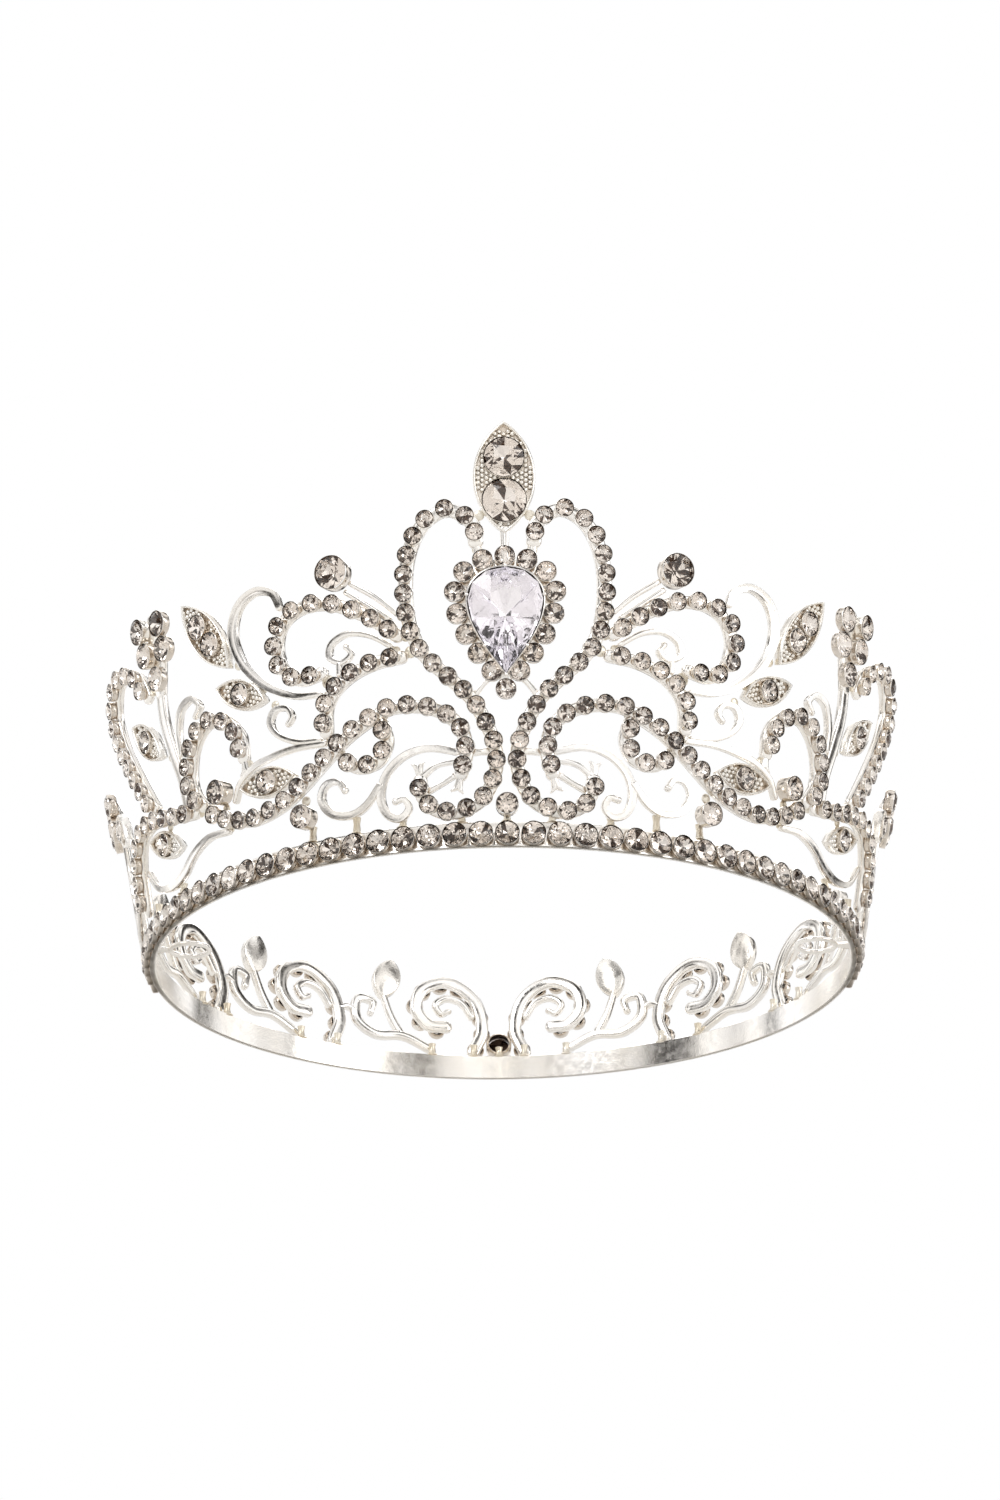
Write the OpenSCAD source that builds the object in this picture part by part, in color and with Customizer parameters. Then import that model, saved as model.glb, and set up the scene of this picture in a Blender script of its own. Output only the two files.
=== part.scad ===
// Full-round bridal tiara: a plain band, cast and soldered scrolls that follow a flared cone,
// and round, pear and marquise settings that each hold their own glass stones.
// Frame: origin at the centre of the band's lower rim, +Z up, front of the tiara towards -Y.

/* [Band] */
// Outer radius of the plain band
band_r = 70; // [66:1:76]
// Height of the band
band_h = 5; // [4.6:0.1:5.4]
// Wall of the band
band_wall = 1; // [0.8:0.1:1.4]
// Outward lean of all the scrollwork, in degrees
flare = 10; // [6:1:14]

/* [Stones] */
// Diameter of the round stones on the band
band_stone_d = 4.4; // [3.6:0.1:4.4]
// Angle between the stones on the band
band_stone_step = 4; // [4:1:6]
// Diameter of the small stones on the scrolls
strand_stone_d = 3.3; // [2.4:0.1:3.3]
// Distance between the small stones
strand_pitch = 3.65; // [3.6:0.05:4.2]
// Wall of every round cup
cup_wall = 0.16; // [0.12:0.01:0.17]

/* [Scrolls] */
// Width of a scroll that carries stones
strand_w = 2.6; // [2:0.1:2.8]
// Thickness of every scroll
scroll_t = 1.7; // [1.2:0.1:1.8]
// Rings between two knots of a scroll
knot_steps = 3; // [2:1:4]

/* [Pear drop] */
// Width of the pear stone
pear_w = 14.8; // [14:0.1:15]
// Height of the pear stone
pear_h = 20.4; // [19.6:0.2:20.8]
// Diameter of the stones round the pear
halo_stone_d = 3.7; // [3.1:0.1:3.8]

/* [Pin loops] */
// Inner radius of a hairpin loop
loop_r = 3.4; // [3:0.1:3.6]
// Wall of a hairpin loop
loop_wall = 0.8; // [0.6:0.1:1]

/* [Hidden] */

silver = [0.86, 0.86, 0.88];
solder = [0.8, 0.77, 0.7];
glass = [0.93, 0.95, 0.98];

// Every scroll lies on a cone. u runs round it from the front centre and v runs up its slope.
cone_r = band_r + 0.6;
cup_seat_n = scroll_t / 2;
cup_h = 1.25;
cup_floor = 0.35;
girdle_share = 0.08;
crown_share = 0.1;
table_share = 0.32;
half_turn = 180 / PI;

// Knots of each scroll on the right half, as [u, v]. The left half mirrors them.
heart_knots = [[4.8, 58.2], [5.4, 62], [9.3, 64.7], [13.6, 62], [16.2, 56], [16.9, 49], [16.3, 42.5],
    [14.2, 37.2], [10.2, 32.6], [6.3, 28.3], [3.7, 23.5], [2, 18.5], [2.1, 13.8], [4.3, 9],
    [8.5, 6.6], [12.8, 7], [15.5, 9.9], [15.8, 13]];
upper_loop_knots = [[18.7, 41.2], [21.6, 43.9], [25.6, 46.8], [30.5, 49.2], [35.5, 49.6], [39.5, 47.6],
    [41.3, 43.5], [40.6, 38.9], [37.2, 35.8], [33, 36.2]];
crest_knots = [[18.2, 37], [22.5, 36.5], [27, 35], [30.6, 32.4], [32.6, 29], [33, 24.6]];
swoop_knots = [[8.3, 13.6], [7.2, 18], [8.2, 22.7], [11.5, 25.8], [16, 27.3], [20.8, 27.3], [25, 25.4],
    [29.2, 22.9], [33.8, 19.2], [38.4, 15.6], [43.3, 12.8], [50, 11.5], [56.6, 13.2], [61, 15.9]];
eye_knots = [[22.4, 24.7], [21.6, 21], [23.4, 17.6], [27.2, 16.9], [30, 19]];
leaf_loop_knots = [[63.4, 17.9], [65.6, 21.8], [65.3, 26], [63.4, 30], [60, 32.8], [56.6, 33],
    [53.4, 31.2], [51.4, 27.8], [51.3, 24]];
side_rail_knots = [[66.3, 17.4], [72, 18.5], [78, 20], [84, 20.6], [89, 18.8], [92.3, 14], [93.3, 6.6]];
side_arch_knots = [[79.8, 23], [84.8, 31], [89.6, 39.5], [91.4, 46.5], [87.5, 51.6], [82, 51.3],
    [77.8, 48.8], [76, 44.4]];
hook_knots = [[33.6, 32.2], [39, 33.1], [45, 36.8], [49.2, 42.3], [50.6, 48], [48.8, 53], [44.9, 55.1],
    [41.3, 53.8], [40.1, 50.7]];
lower_scroll_knots = [[8.6, 17.9], [14, 19.1], [18.6, 18], [22.1, 14.8], [23.4, 10.6], [22.3, 7.2],
    [19.9, 6.2], [18.2, 7.8], [19, 9.8], [20.6, 9.5]];
lower_branch_knots = [[23.4, 13], [26.2, 9.6], [29.4, 8.1], [33.2, 8.9], [35.2, 11.9], [34.1, 14.6],
    [31.6, 14.9], [30.3, 13]];
upper_bridge_knots = [[8.7, 16.3], [12.6, 15.7], [15.3, 13.7]];
lower_bridge_knots = [[9.7, 13.4], [12, 12], [14.2, 10.9]];
cross_bar_knots = [[3.3, 17.9], [4.5, 17.8], [5.8, 17.8]];
vine_inner_knots = [[19.9, 39.3], [23.7, 42], [27.6, 42.9], [30.6, 41.5], [31.2, 38.9], [29, 37.6],
    [27.2, 38.8], [28, 40.4]];
vine_post_knots = [[29.5, 37.4], [29.6, 36.6], [29.6, 35.2]];
vine_top_knots = [[34.4, 23.4], [38.8, 24], [42.6, 26], [44.4, 28.8], [43.2, 31.2], [40.6, 31], [39.7, 29.2],
    [40.6, 27.9]];
vine_base_knots = [[33.6, 22.6], [39, 23], [44, 22.6], [49, 21.6], [52.8, 19.3], [54.6, 16.2]];
pillar_knots = [[71.6, 44.4], [71.8, 38], [70.3, 31], [68.7, 25], [68.2, 19.6]];
pillar_head_knots = [[71.6, 43.6], [70.9, 50.5], [70.6, 57.5]];
pillar_curl_knots = [[67.9, 29.8], [67.9, 34.4], [66.2, 38.2], [62.9, 39.3], [60.9, 37.3], [62.2, 35.5]];
bowl_knots = [[57.5, 11.1], [63, 11.5], [68.3, 9.9], [72.8, 7.3], [78, 6.4], [84, 8.1], [88.3, 12.6]];
stem_outer_knots = [[18.6, 45.4], [22, 49], [26.2, 52.4]];
stem_inner_knots = [[19.9, 44.6], [23.6, 47.7], [27.2, 50.9]];
low_stem_knots = [[112.5, 5.8], [111, 14], [112.8, 21.5], [113, 28.5]];
low_curl_front_knots = [[111.3, 7], [104.5, 8.6], [101.2, 13.2], [103, 18.2], [107, 17.9], [106.6, 14.8]];
low_curl_back_knots = [[113.7, 7], [120.4, 8.6], [123.6, 13.2], [121.8, 18.2], [117.8, 17.9],
    [118.2, 14.8]];
low_tie_knots = [[90.6, 19.4], [94.5, 21.4], [97, 22.6]];

// The back repeats one motif. Its knots run from the back centre towards a side.
back_count = 3;
back_pitch = 30.5;
back_start = 2;
back_strand_knots = [[3.4, 6.4], [1.4, 12], [2.9, 19], [8, 23.2], [13.3, 21.4], [14.9, 16.6],
    [12.6, 12.9], [8.9, 12.5]];
back_tendril_knots = [[3.6, 15], [5.6, 18.4], [8.6, 19.4], [10.9, 17.7], [9.8, 15.6], [8.2, 16.4]];
back_tie_knots = [[28.3, 14.6], [30, 15.4], [31.8, 14.8]];
back_stem_knots = [[18.8, 10.4], [20.6, 14.4], [22, 19.8]];
back_hook_knots = [[12, 6.6], [18, 9.7], [24, 9.6], [28, 12.8], [27.4, 17.6], [24.2, 17.2], [24.8, 14.6]];

// Single stones on the right half, as [u, v, stone diameter].
bobble = [29.2, 54.9, 6.4];
side_studs = [[38.9, 9.3, 4.4], [57.8, 18.9, 4.6]];
pillar_studs = [[67.5, 56.3, 4.9], [73.8, 57, 4.9], [67.1, 51, 4.9], [72.9, 51.7, 4.9], [70.2, 46, 4.6]];
low_head = [113, 33.2];
low_head_r = 4.4;
low_studs = [for (a = [45:90:315]) [low_head[0] + 3.7 * cos(a), low_head[1] + 3.7 * sin(a), 4.8]];
centre_stud = [0, 7.6, 4];
back_stud = [PI * cone_r, 8.4, 5];

// Leaves on the right half, as [base tip, point, width, stone diameter, stones].
double_leaf_shape = [[51.3, 41.9], [62, 57.6], 7.6, 4.6, 2];
small_leaf_shapes = [
    [[43.9, 33.4], [56, 38.8], 6, 4.1, 1],
    [[39.4, 17.8], [53, 17.9], 6, 4.4, 1],
    [[73.2, 31.2], [83.6, 41], 6.2, 4.3, 1],
    [[70.9, 12.3], [83.8, 17], 5.6, 4.2, 1],
    [[98, 23], [107.4, 31.4], 6.2, 4.3, 1]];
back_leaf_shape = [[22.4, 18.4], [19.4, 27.8], 6, 3.7, 1];
leaf_floor = 0.9;
leaf_rim = 0.5;
leaf_h = 1.9;

// Front finial and pear drop, centred on u = 0.
finial_v = 70.7;
finial_len = 22;
finial_w = 11.9;
finial_stones_at = [[3.8, 7.7], [-4.6, 8.4]];
pear_v = 42.5;
pear_plate_h = 1.2;
pear_base_h = 0.8;
halo_count = 16;
halo_gap = 1.7;

// Short posts that carry the scrolls on the band's upper edge, as [u, top].
post_r = 0.7;
posts = [[8.6, 7], [20, 6.6], [29.4, 8.2], [38.9, 8], [77.6, 7], [93.3, 8], [112.5, 8]];
back_posts = [for (i = [0:back_count - 1], at = [3.4, 12.4])
    [PI * cone_r - back_start - i * back_pitch - at, 7.4]];

// Solder pads behind the places where two scrolls, leaves or cups meet, as [u, v, radius].
pad_h = 0.5;
pad_bite = 0.05;
pads = [[4.6, 56.9, 1.3], [4.2, 63.6, 1.4], [17.3, 41.2, 1.5], [16.6, 38, 1.6], [18, 45, 1.1],
    [19.2, 38.6, 1.1], [22.4, 25.8, 1.4], [30.8, 20.3, 1.2], [32.2, 34.5, 1.8], [32.6, 31.9, 1.2],
    [32.4, 23, 1.7], [43.5, 32.4, 1.2], [45.7, 36, 1.2], [50.6, 42.3, 1.4], [38.5, 17.1, 1.4],
    [38.9, 12.6, 1.3], [50.9, 22.4, 1.5], [58, 15.8, 1.3], [57.3, 11.8, 1.2], [62.2, 16.9, 1.4],
    [65.2, 17.4, 1.5], [68.2, 19.3, 1.3], [72.3, 31, 1.5], [76.6, 18.2, 1.4], [79.6, 22.2, 1.5],
    [74, 45.4, 1.8], [90.6, 19, 1.3], [97.4, 22.8, 1.2], [108.1, 31.3, 1.4]];

// Hairpin loops: the turn where each stands, its height over the rim and its lug.
loop_turn = 88;
loop_h = 1.5;
loop_z = 3.2;
loop_reach = 6.8;
loop_centre = band_r - band_wall - loop_reach;
lug_w = 2.4;

// ---------- geometry on the cone ----------

function turn_of(u) = u / cone_r * half_turn;
function radius_at(v, n) = cone_r + v * sin(flare) + n * cos(flare);
function on_cone(u, v, n) = [
    radius_at(v, n) * sin(turn_of(u)), -radius_at(v, n) * cos(turn_of(u)), v * cos(flare) - n * sin(flare)];

// Places children at u, v with their +Z along the cone's outward normal and +Y up its slope.
module on_slope(u, v, n = 0) {
    rotate([0, 0, turn_of(u)])
        translate([0, -radius_at(v, n), v * cos(flare) - n * sin(flare)])
            rotate([90 + flare, 0, 0]) children();
}

module left_half() { mirror([1, 0, 0]) children(); }

// Catmull-Rom curve through the knots, with its end tangents taken from the end chords.
function knot(k, i) = i < 0 ? 2 * k[0] - k[1]
    : i >= len(k) ? 2 * k[len(k) - 1] - k[len(k) - 2] : k[i];
function blend(a, b, c, d, t) =
    0.5 * (2 * b + (c - a) * t + (2 * a - 5 * b + 4 * c - d) * t * t + (3 * b - a - 3 * c + d) * t * t * t);
function curve(k, steps) = concat(
    [for (i = [0:len(k) - 2], s = [0:steps - 1])
        blend(knot(k, i - 1), knot(k, i), knot(k, i + 1), knot(k, i + 2), s / steps)],
    [k[len(k) - 1]]);
function heading(p, i) =
    let (d = p[min(i + 1, len(p) - 1)] - p[max(i - 1, 0)]) d / norm(d);

// Distance along a curve at each of its points.
function travelled(p) =
    [for (i = 0, s = 0; i < len(p); s = s + (i + 1 < len(p) ? norm(p[i + 1] - p[i]) : 0), i = i + 1) s];

// Stone centres spaced evenly along a curve, with the first and last half a pitch from its ends.
function stations(k, pitch) =
    let (p = curve(k, 8),
        s = travelled(p),
        inset = strand_stone_d / 2,
        room = s[len(s) - 1] - 2 * inset,
        gaps = floor(room / pitch),
        us = [for (i = [0:len(p) - 1]) [s[i], p[i][0]]],
        vs = [for (i = [0:len(p) - 1]) [s[i], p[i][1]]])
    [for (i = [0:gaps]) let (at = inset + i * room / gaps) [lookup(at, us), lookup(at, vs)]];

// Section of a scroll as [across, outward]: a flat bar for stones, or a ridged bar left plain.
function flat_section(w) = [[-w / 2, -scroll_t / 2], [w / 2, -scroll_t / 2], [w / 2, scroll_t / 2],
    [-w / 2, scroll_t / 2]];
function ridged_section(w) = [[-w / 2, -scroll_t / 2], [w / 2, -scroll_t / 2], [w / 2, scroll_t * 0.15],
    [0, scroll_t / 2], [-w / 2, scroll_t * 0.15]];

// One closed bar that follows the knots over the cone. Its width runs from w0 through w1 to w2.
module scroll(k, w0, w1, w2, ridged) {
    p = curve(k, knot_steps);
    last = len(p) - 1;
    widths = [[0, w0], [last / 2, w1], [last, w2]];
    rings = [for (i = [0:last])
        let (w = lookup(i, widths),
            h = heading(p, i),
            section = ridged ? ridged_section(w) : flat_section(w))
        [for (q = section) on_cone(p[i][0] - q[0] * h[1], p[i][1] + q[0] * h[0], q[1])]];
    sides = len(rings[0]);
    polyhedron(
        points = [for (r = rings, q = r) q],
        faces = concat(
            [[for (j = [0:sides - 1]) j]],
            [[for (j = [sides - 1:-1:0]) last * sides + j]],
            [for (i = [0:last - 1], j = [0:sides - 1])
                let (a = i * sides + j, b = i * sides + (j + 1) % sides)
                each [[a, b + sides, b], [a, a + sides, b + sides]]]));
}

module strand(k) { scroll(k, strand_w, strand_w, strand_w, false); }
module plain(k, w0 = 1.3, w1 = 1.7, w2 = 1.1) { scroll(k, w0, w1, w2, true); }

// ---------- settings and stones ----------

// Every cup is a short tube with a floor, and the stone fills it and stands proud.
function cup_r(d) = d / 2 + cup_wall;
module round_cup(d, base_h = 0) {
    difference() {
        translate([0, 0, -base_h]) cylinder(r = cup_r(d), h = cup_h + base_h, $fn = 48);
        translate([0, 0, cup_floor]) cylinder(r = d / 2, h = cup_h, $fn = 48);
    }
}
module round_stone(d) {
    translate([0, 0, cup_floor]) cylinder(r = d / 2, h = cup_h - cup_floor + girdle_share * d, $fn = 48);
    translate([0, 0, cup_h + girdle_share * d])
        cylinder(r = table_share * d, h = crown_share * d, $fn = 48);
}
module marquise(length, width) {
    arc_r = (length * length + width * width) / (4 * width);
    intersection() {
        translate([0, arc_r - width / 2]) circle(arc_r, $fn = 128);
        translate([0, width / 2 - arc_r]) circle(arc_r, $fn = 128);
    }
}

// A marquise tray along +X with a raised rim, with round cups standing on its floor.
module leaf_tray(length, width, stones_at) {
    difference() {
        union() {
            difference() {
                linear_extrude(leaf_h) marquise(length, width);
                translate([0, 0, leaf_floor])
                    linear_extrude(leaf_h) marquise(length - 4 * leaf_rim, width - 2 * leaf_rim);
            }
            for (s = stones_at)
                translate([s[0], 0, leaf_floor]) cylinder(r = cup_r(s[1]), h = cup_h, $fn = 48);
        }
        for (s = stones_at)
            translate([s[0], 0, leaf_floor + cup_floor]) cylinder(r = s[1] / 2, h = 2 * cup_h, $fn = 48);
    }
}

function leaf_length(shape) = norm(shape[1] - shape[0]);
function leaf_stones(shape) = shape[4] == 1 ? [[0, shape[3]]]
    : [[-0.52 * shape[3], shape[3]], [0.6 * shape[3], shape[3]]];
module on_leaf(shape) {
    middle = (shape[0] + shape[1]) / 2;
    along = shape[1] - shape[0];
    on_slope(middle[0], middle[1], -scroll_t / 2) rotate([0, 0, atan2(along[1], along[0])]) children();
}
module leaf(shape) {
    on_leaf(shape) leaf_tray(leaf_length(shape), shape[2], leaf_stones(shape));
}
module leaf_gems(shape) {
    on_leaf(shape)
        for (s = leaf_stones(shape)) translate([s[0], 0, leaf_floor]) round_stone(s[1]);
}

module cup_at(s) { on_slope(s[0], s[1], cup_seat_n) round_cup(s[2]); }
module stone_at(s) { on_slope(s[0], s[1], cup_seat_n) round_stone(s[2]); }

// A cup on its own solid base, for a stone that no scroll carries.
module based_cup(s) { on_slope(s[0], s[1], cup_seat_n) round_cup(s[2], scroll_t); }

// ---------- scrolls with stones ----------
// Each piece is drawn on the right half, and its left twin is the mirror image.

module heart_scroll_right() { color(silver) strand(heart_knots); }
module heart_scroll_left() { left_half() heart_scroll_right(); }
module upper_loop_right() { color(silver) strand(upper_loop_knots); }
module upper_loop_left() { left_half() upper_loop_right(); }
module crest_scroll_right() { color(silver) strand(crest_knots); }
module crest_scroll_left() { left_half() crest_scroll_right(); }
module swoop_scroll_right() { color(silver) strand(swoop_knots); }
module swoop_scroll_left() { left_half() swoop_scroll_right(); }
module eye_curl_right() { color(silver) strand(eye_knots); }
module eye_curl_left() { left_half() eye_curl_right(); }
module leaf_loop_right() { color(silver) strand(leaf_loop_knots); }
module leaf_loop_left() { left_half() leaf_loop_right(); }
module side_rail_right() { color(silver) strand(side_rail_knots); }
module side_rail_left() { left_half() side_rail_right(); }
module side_arch_right() { color(silver) strand(side_arch_knots); }
module side_arch_left() { left_half() side_arch_right(); }

// The motif's knots at its place number i, counted from the back centre.
function back_shift(k, i) =
    [for (q = k) [PI * cone_r - back_start - i * back_pitch - q[0], q[1]]];
function small_strands() = [heart_knots, upper_loop_knots, crest_knots, swoop_knots, eye_knots,
    leaf_loop_knots, side_rail_knots, side_arch_knots];
function back_strands() = [for (i = [0:back_count - 1]) back_shift(back_strand_knots, i)];
function small_stones() = [for (k = concat(small_strands(), back_strands()), s = stations(k, strand_pitch))
    [s[0], s[1], strand_stone_d]];

module strand_cups_right() { color(silver) for (s = small_stones()) cup_at(s); }
module strand_cups_left() { left_half() strand_cups_right(); }
module strand_stones_right() { color(glass) for (s = small_stones()) stone_at(s); }
module strand_stones_left() { left_half() strand_stones_right(); }

// ---------- plain scrolls ----------

module hook_scroll_right() { color(silver) plain(hook_knots, 1, 2.3, 1.3); }
module hook_scroll_left() { left_half() hook_scroll_right(); }
module bowl_scroll_right() { color(silver) plain(bowl_knots, 1.2, 1.8, 1.1); }
module bowl_scroll_left() { left_half() bowl_scroll_right(); }
module lower_scroll_right() {
    color(silver) {
        plain(lower_scroll_knots);
        plain(lower_branch_knots);
        plain(upper_bridge_knots, 1.2, 1, 1.2);
        plain(lower_bridge_knots, 1.2, 1, 1.2);
        plain(cross_bar_knots, 1.4, 1.1, 1.4);
    }
}
module lower_scroll_left() { left_half() lower_scroll_right(); }
module vine_curls_right() {
    color(silver) {
        plain(vine_inner_knots, 1, 1.3, 0.9);
        plain(vine_post_knots, 1, 1, 1);
        plain(vine_top_knots, 1, 1.4, 0.9);
        plain(vine_base_knots, 1.2, 1.4, 0.9);
    }
}
module vine_curls_left() { left_half() vine_curls_right(); }
module pillar_right() {
    color(silver) {
        plain(pillar_knots, 2.2, 2.6, 2.2);
        plain(pillar_head_knots, 2.6, 5, 4.6);
        plain(pillar_curl_knots, 1.1, 1.5, 0.9);
    }
}
module pillar_left() { left_half() pillar_right(); }
module bobble_stem_right() {
    color(silver) {
        plain(stem_outer_knots, 0.9, 1.1, 1.2);
        plain(stem_inner_knots, 0.9, 1.1, 1.2);
        based_cup(bobble);
    }
}
module bobble_stem_left() { left_half() bobble_stem_right(); }
module low_pillar_right() {
    color(silver) {
        plain(low_stem_knots, 2.8, 2.2, 2.6);
        on_slope(low_head[0], low_head[1], -scroll_t / 2) cylinder(r = low_head_r, h = scroll_t, $fn = 48);
        plain(low_curl_front_knots);
        plain(low_curl_back_knots);
        plain(low_tie_knots, 1.2, 1.2, 1.2);
    }
}
module low_pillar_left() { left_half() low_pillar_right(); }
module back_scrolls_right() {
    color(silver) for (i = [0:back_count - 1]) {
        strand(back_shift(back_strand_knots, i));
        plain(back_shift(back_hook_knots, i), 1.6, 2.2, 1.2);
        plain(back_shift(back_stem_knots, i), 1.8, 1.5, 1.2);
        plain(back_shift(back_tendril_knots, i), 1.3, 1.5, 0.9);
        plain(back_shift(back_tie_knots, i), 1.2, 1.2, 1.2);
    }
}
module back_scrolls_left() { left_half() back_scrolls_right(); }

// ---------- leaves and studs ----------

function back_leaf(i) = concat(back_shift([back_leaf_shape[0], back_leaf_shape[1]], i),
    [back_leaf_shape[2], back_leaf_shape[3], back_leaf_shape[4]]);

module double_leaf_right() { color(silver) leaf(double_leaf_shape); }
module double_leaf_left() { left_half() double_leaf_right(); }
module small_leaves_right() { color(silver) for (shape = small_leaf_shapes) leaf(shape); }
module small_leaves_left() { left_half() small_leaves_right(); }
module back_leaves_right() { color(silver) for (i = [0:back_count - 1]) leaf(back_leaf(i)); }
module back_leaves_left() { left_half() back_leaves_right(); }
module stud_cups_right() {
    color(silver) {
        for (s = side_studs) based_cup(s);
        for (s = concat(pillar_studs, low_studs)) cup_at(s);
    }
}
module stud_cups_left() { left_half() stud_cups_right(); }
module large_stones_right() {
    color(glass) {
        for (s = concat(side_studs, low_studs, pillar_studs, [bobble])) stone_at(s);
        leaf_gems(double_leaf_shape);
        for (shape = small_leaf_shapes) leaf_gems(shape);
        for (i = [0:back_count - 1]) leaf_gems(back_leaf(i));
    }
}
module large_stones_left() { left_half() large_stones_right(); }

// The lowest stud at the front, and the one that covers the band's seam at the back.
module centre_studs() {
    color(silver) {
        based_cup(centre_stud);
        based_cup(back_stud);
    }
}
module centre_stones() {
    color(glass) {
        stone_at(centre_stud);
        stone_at(back_stud);
    }
}

// ---------- front centre ----------

// Outline of a pear with its point at the bottom, grown outwards by g.
pear_swell = 1.3;
pear_point_power = 1.2;
function pear_point(a, g) = [
    (pear_w / 2 + g) * pear_swell * sin(a) * pow(sin(a / 2), pear_point_power), -(pear_h / 2 + g) * cos(a)];
function pear_outline(g) = [for (a = [0:12:348]) pear_point(a, g)];

// Halo stones spaced evenly round the pear.
function halo_path() = let (g = halo_gap + halo_stone_d / 4) [for (a = [0:6:360]) pear_point(a, g)];
function halo_stones_at() =
    let (p = halo_path(),
        s = travelled(p),
        total = s[len(s) - 1],
        xs = [for (i = [0:len(p) - 1]) [s[i], p[i][0]]],
        ys = [for (i = [0:len(p) - 1]) [s[i], p[i][1]]])
    [for (i = [0:halo_count - 1]) let (at = i * total / halo_count) [lookup(at, xs), lookup(at, ys)]];

module on_pear() { on_slope(0, pear_v, 0) children(); }

// Base plate under the halo, a wall round the stone, a stem to the finial and two struts to the heart.
pear_wall = 0.45;
pear_wall_h = 1.1;
pear_stem = [1.6, 7.6];
pear_strut = [1.2, 6];
pear_strut_at = [4, -11.8];
pear_strut_turn = 38;
module pear_setting() {
    color(silver) on_pear() {
        translate([0, 0, -pear_base_h]) linear_extrude(pear_base_h) polygon(pear_outline(halo_gap + 0.6));
        difference() {
            linear_extrude(pear_plate_h + pear_wall_h) polygon(pear_outline(pear_wall));
            translate([0, 0, pear_plate_h]) linear_extrude(2 * pear_wall_h) polygon(pear_outline(0.02));
        }
        translate([-pear_stem[0] / 2, pear_h / 2 + 1, -pear_base_h])
            cube([pear_stem[0], pear_stem[1], pear_base_h]);
        for (side = [-1, 1])
            translate([side * pear_strut_at[0], pear_strut_at[1], -pear_base_h / 2])
                rotate([0, 0, side * pear_strut_turn])
                    cube([pear_strut[0], pear_strut[1], pear_base_h], center = true);
    }
}

// The pear stone: a small back, its full outline at the girdle and a flat table.
pear_girdle = [1.6, 0.4];
pear_table_at = 3.6;
module pear_stone() {
    color(glass) on_pear() translate([0, 0, pear_plate_h]) hull() {
        linear_extrude(0.1) scale([0.3, 0.3]) polygon(pear_outline(0));
        translate([0, 0, pear_girdle[0]]) linear_extrude(pear_girdle[1]) polygon(pear_outline(0));
        translate([0, 0, pear_table_at]) linear_extrude(0.1) scale([0.55, 0.55]) polygon(pear_outline(0));
    }
}
module halo_cups() {
    color(silver) on_pear() for (s = halo_stones_at()) translate([s[0], s[1], 0]) round_cup(halo_stone_d);
}
module halo_stones() {
    color(glass) on_pear() for (s = halo_stones_at()) translate([s[0], s[1], 0]) round_stone(halo_stone_d);
}

module on_finial() { on_slope(0, finial_v, -scroll_t / 2) rotate([0, 0, 90]) children(); }
module finial_leaf() { color(silver) on_finial() leaf_tray(finial_len, finial_w, finial_stones_at); }
module finial_stones() {
    color(glass) on_finial() for (s = finial_stones_at) translate([s[0], 0, leaf_floor]) round_stone(s[1]);
}

// ---------- band ----------

module base_band() {
    color(silver) rotate_extrude($fn = 180) translate([band_r - band_wall, 0]) square([band_wall, band_h]);
}
band_stones_a_side = 25;
band_stone_z = band_h / 2 - 0.1;
module on_band() {
    for (i = [-band_stones_a_side:band_stones_a_side]) rotate([0, 0, i * band_stone_step])
        translate([0, -band_r, band_stone_z]) rotate([90, 0, 0]) children();
}
module band_cups() { color(silver) on_band() round_cup(band_stone_d); }
module band_stones() { color(glass) on_band() round_stone(band_stone_d); }

// A short post that carries a scroll on the band's upper edge.
module post(u, top) {
    rotate([0, 0, turn_of(u)]) translate([0, -band_r + 0.3 * band_wall, band_h])
        cylinder(r = post_r, h = top - band_h, $fn = 24);
}
module pad(u, v, r) {
    on_slope(u, v, -scroll_t / 2 - pad_h) cylinder(r = r, h = pad_h + pad_bite, $fn = 24);
}
module solder_posts() {
    color(solder) {
        for (side = [-1, 1]) {
            for (p = concat(posts, back_posts)) post(side * p[0], p[1]);
            for (p = pads) pad(side * p[0], p[1], p[2]);
        }
        post(0, 6.5);
        post(PI * cone_r, 7);
    }
}

// A flat ring inside the band, lying level, with a lug soldered to the band's inner face.
module pin_loop_right() {
    color(silver) rotate([0, 0, loop_turn]) translate([0, -loop_centre, loop_z]) {
        difference() {
            union() {
                cylinder(r = loop_r + loop_wall, h = loop_h, $fn = 64);
                translate([-lug_w / 2, -loop_reach, 0])
                    cube([lug_w, loop_reach - loop_r - loop_wall / 2, loop_h]);
            }
            translate([0, 0, -1]) cylinder(r = loop_r, h = loop_h + 2, $fn = 64);
        }
    }
}
module pin_loop_left() { left_half() pin_loop_right(); }

base_band();
band_cups();
band_stones();
heart_scroll_left();
heart_scroll_right();
upper_loop_left();
upper_loop_right();
crest_scroll_left();
crest_scroll_right();
swoop_scroll_left();
swoop_scroll_right();
eye_curl_left();
eye_curl_right();
leaf_loop_left();
leaf_loop_right();
side_rail_left();
side_rail_right();
side_arch_left();
side_arch_right();
hook_scroll_left();
hook_scroll_right();
lower_scroll_left();
lower_scroll_right();
vine_curls_left();
vine_curls_right();
pillar_left();
pillar_right();
bowl_scroll_left();
bowl_scroll_right();
bobble_stem_left();
bobble_stem_right();
double_leaf_left();
double_leaf_right();
small_leaves_left();
small_leaves_right();
low_pillar_left();
low_pillar_right();
back_scrolls_left();
back_scrolls_right();
back_leaves_left();
back_leaves_right();
strand_cups_left();
strand_cups_right();
strand_stones_left();
strand_stones_right();
stud_cups_left();
stud_cups_right();
large_stones_left();
large_stones_right();
centre_studs();
centre_stones();
solder_posts();
finial_leaf();
finial_stones();
pear_setting();
pear_stone();
halo_cups();
halo_stones();
pin_loop_left();
pin_loop_right();
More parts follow.
